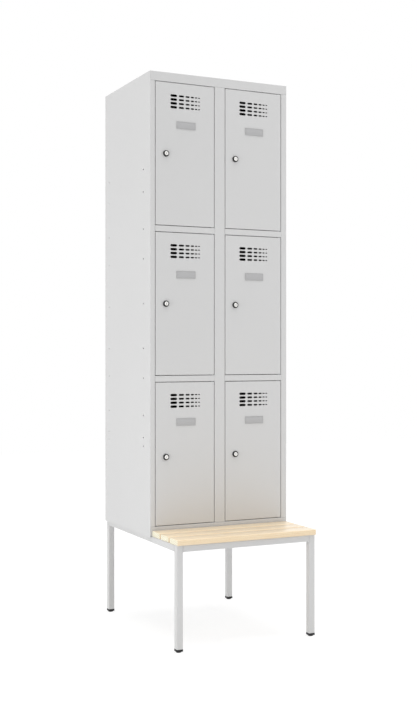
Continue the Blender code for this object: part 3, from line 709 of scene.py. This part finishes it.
# The black insert is painted shade: it sits 0.6 mm down in a keyway only 1.5 mm deep, so the slot
# shows as dark as a deep one.
keyway_shade_width = KEYWAY_WIDTH - 2 * KEYWAY_SHADE_CLEARANCE
keyway_shade_height = KEYWAY_HEIGHT - 2 * KEYWAY_SHADE_CLEARANCE
keyway_shade_thickness = KEYWAY_DEPTH - KEYWAY_SHADE_DEPTH - KEYWAY_SHADE_CLEARANCE
keyway_shade = block(
    (keyway_shade_width, keyway_shade_height, keyway_shade_thickness),
    (0, 0, plug_front - KEYWAY_SHADE_DEPTH - keyway_shade_thickness / 2),
)
rounded(keyway_shade, KEYWAY_SHADE_CLEARANCE, segments=2)
cam_reach = plug_low.z - joints["lock_turn_upper_left"]["pos_m"][2]
cam_half = (plug_high.x - plug_low.x) / 2 - CAM_SIDE_TRIM
cam = block(
    (2 * cam_half, cam_half - cam_reach, CAM_THICKNESS),
    (0, (cam_half + cam_reach) / 2, -(cam_front + cam_rear) / 2),
)
bpy.ops.object.mode_set(mode="EDIT")
bpy.ops.mesh.select_all(action="DESELECT")
bpy.ops.object.mode_set(mode="OBJECT")
for edge in cam.data.edges:
    start, end = (cam.data.vertices[index].co for index in edge.vertices)
    edge.select = abs(start.z - end.z) > CAM_THICKNESS / 2
bpy.ops.object.mode_set(mode="EDIT")
bpy.ops.mesh.select_mode(type="EDGE")
bpy.ops.mesh.bevel(offset=cam_half / 2, segments=5)
bpy.ops.object.mode_set(mode="OBJECT")
rounded(cam, GROOVE / 2, segments=2, angle=60)
facing_out = (90, 0, 0)
for where in door_places:
    spot = joints[f"lock_turn_{where}"]["pos_m"]
    shell = joined([copied(housing, spot, facing_out), copied(nut, spot, facing_out)])
    keep(shell, f"lock_collar_{where}", black_enamel, f"door_{where}")
    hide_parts(f"lock_housing_{where}")
    core = copied(plug, spot, facing_out)
    keep(core, f"lock_rotor_{where}", nickel, f"lock_{where}")
    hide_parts(f"lock_plug_{where}")
    # The black insert in the keyway, painted shade, turns with the plug.
    keyway_shade_copy = copied(keyway_shade, spot, facing_out)
    keep(keyway_shade_copy, f"lock_keyway_shade_{where}", black_enamel, f"lock_{where}")
    arm = copied(cam, spot, facing_out)
    keep(arm, f"lock_cam_{where}", blue_zinc, f"lock_{where}")
for pattern in (housing, nut, plug, keyway_shade, cam):
    bpy.data.objects.remove(pattern)


# Studio: a white floor, which shows a faint shadow and otherwise runs into the white
# background, and three large soft lamps: low on the left, high on the right, and above.
FLOOR_SIZE = 15.0
FLOOR_GLOW = 0.79
CAMERA_PLACE = (-1.942, -4.103, 1.108)
CAMERA_TURN = -25.43
CAMERA_LENS = 57.35
WORLD_LEVEL = 0.585
LAMPS_AIM = (0, 0, 1.1)


def seen_by_camera(setting):
    """1 where a floor or world is looked at, mirrored or through glass too, and else 0."""
    ray = add_node(setting, "ShaderNodeLightPath")
    seen = ray.outputs["Is Camera Ray"]
    for kind in ("Is Glossy Ray", "Is Transmission Ray"):
        either = add_node(
            setting, "ShaderNodeMath", {"operation": "MAXIMUM"}, {0: seen, 1: ray.outputs[kind]}
        )
        seen = either.outputs[0]
    return seen


floor_paint = bpy.data.materials.new("white_studio_floor")
floor_paint.use_nodes = True
tree = floor_paint.node_tree
tree.nodes.remove(tree.nodes["Principled BSDF"])
plain = add_node(floor_paint, "ShaderNodeBsdfDiffuse", {"Color": linear("#F2F2F2")})
shaded = add_node(floor_paint, "ShaderNodeBsdfDiffuse", {"Color": linear("#8C8C8C")})
glow = add_node(floor_paint, "ShaderNodeEmission", {"Strength": FLOOR_GLOW})
pale = add_node(floor_paint, "ShaderNodeAddShader", (), {0: shaded.outputs[0], 1: glow.outputs[0]})
mixed = add_node(
    floor_paint, "ShaderNodeMixShader", (),
    {0: seen_by_camera(floor_paint), 1: plain.outputs[0], 2: pale.outputs[0]},
)
tree.links.new(mixed.outputs[0], tree.nodes["Material Output"].inputs["Surface"])
bpy.ops.object.select_all(action="DESELECT")
bpy.ops.mesh.primitive_plane_add(size=FLOOR_SIZE)
floor = bpy.context.active_object
floor.name = "studio_floor"
floor.data.materials.append(floor_paint)

world = bpy.data.worlds.new("white_studio")
bpy.context.scene.world = world
world.use_nodes = True
background = world.node_tree.nodes["Background"]
level = add_node(
    world, "ShaderNodeMapRange", {"To Min": WORLD_LEVEL, "To Max": 1.0},
    {"Value": seen_by_camera(world)},
)
background.inputs["Color"].default_value = (1, 1, 1, 1)
world.node_tree.links.new(level.outputs["Result"], background.inputs["Strength"])

for name, place, size, power in (
    ("left_softbox", (-4.5, -1.0, 1.1), 2.0, 49.0),
    ("right_softbox", (3.5, -2.5, 3.2), 2.5, 40.0),
    ("top_softbox", (0.0, 0.0, 12.0), 9.6, 980.0),
):
    bpy.ops.object.light_add(type="AREA", location=place)
    lamp = bpy.context.active_object
    lamp.name = name
    lamp.data.size = size
    lamp.data.energy = power
    aim = Vector(LAMPS_AIM) - Vector(place)
    lamp.rotation_euler = aim.to_track_quat("-Z", "Y").to_euler()

bpy.ops.object.camera_add(
    location=CAMERA_PLACE, rotation=(math.radians(90), 0, math.radians(CAMERA_TURN))
)
camera = bpy.context.active_object
camera.data.lens = CAMERA_LENS
bpy.context.scene.camera = camera
bpy.context.scene.view_settings.view_transform = "Standard"
